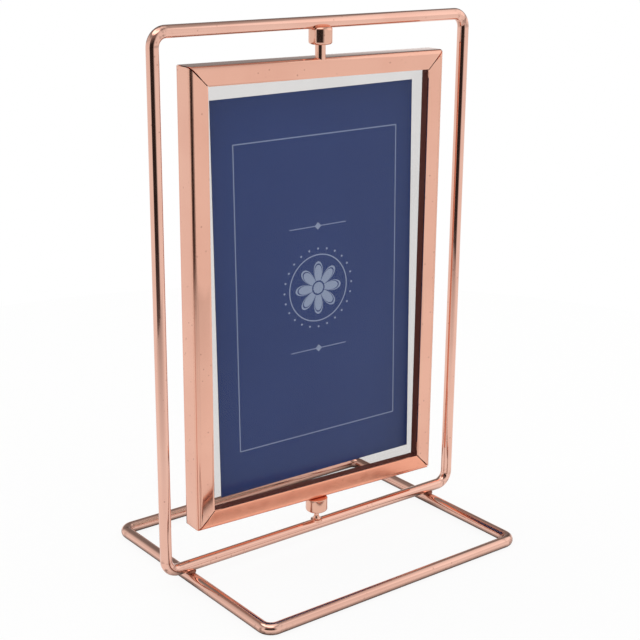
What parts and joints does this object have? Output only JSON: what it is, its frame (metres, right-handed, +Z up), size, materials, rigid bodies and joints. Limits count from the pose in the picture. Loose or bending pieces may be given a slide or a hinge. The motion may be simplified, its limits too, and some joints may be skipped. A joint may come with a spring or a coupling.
{
  "type": "spinning picture frame",
  "caption": "Glazed picture panel that spins on a vertical pivot inside a standing loop of polished rose-gold wire, welded across a flat wire base.",
  "frame": {"origin": "on the table, at the middle of the wire base, under the axis that the panel spins on", "axes": "+Z up along the spin axis, +X to the right along the upright loop, -Y out of the front"},
  "size_m": [0.1458, 0.1054, 0.2077],
  "materials": {
    "plated_wire": "polished rose-gold plate on steel wire",
    "plated_weld": "rose-gold plate over a weld bead, less bright",
    "plated_turning": "polished rose-gold plate on turned steel",
    "plated_rail": "polished rose-gold plate on an extruded section",
    "key_plastic": "moulded",
    "strip_plastic": "moulded, soft black",
    "clear_glass": "clear float glass",
    "printed_card": "satin print on card"
  },
  "bodies": {
    "stand": {"base_loop": "plated_wire", "upright_loop": "plated_wire", "weld_left": "plated_weld", "weld_right": "plated_weld", "top_collar": "plated_turning", "bottom_pin": "plated_turning"},
    "panel": {"top_rail": "plated_rail", "bottom_rail": "plated_rail", "left_rail": "plated_rail", "right_rail": "plated_rail", "corner_key_tl": "key_plastic", "corner_key_tr": "key_plastic", "corner_key_bl": "key_plastic", "corner_key_br": "key_plastic", "glazing_strip": "strip_plastic", "front_pane": "clear_glass", "rear_pane": "clear_glass", "photo_card": "printed_card", "top_pin": "plated_turning", "bottom_collar": "plated_turning"}
  },
  "joints": [
    {"name": "panel_spin", "type": "hinge", "parent": "stand", "child": "panel", "pos_m": [0, 0, 0.02], "axis": [0, 0, 1], "continuous": true}
  ]
}
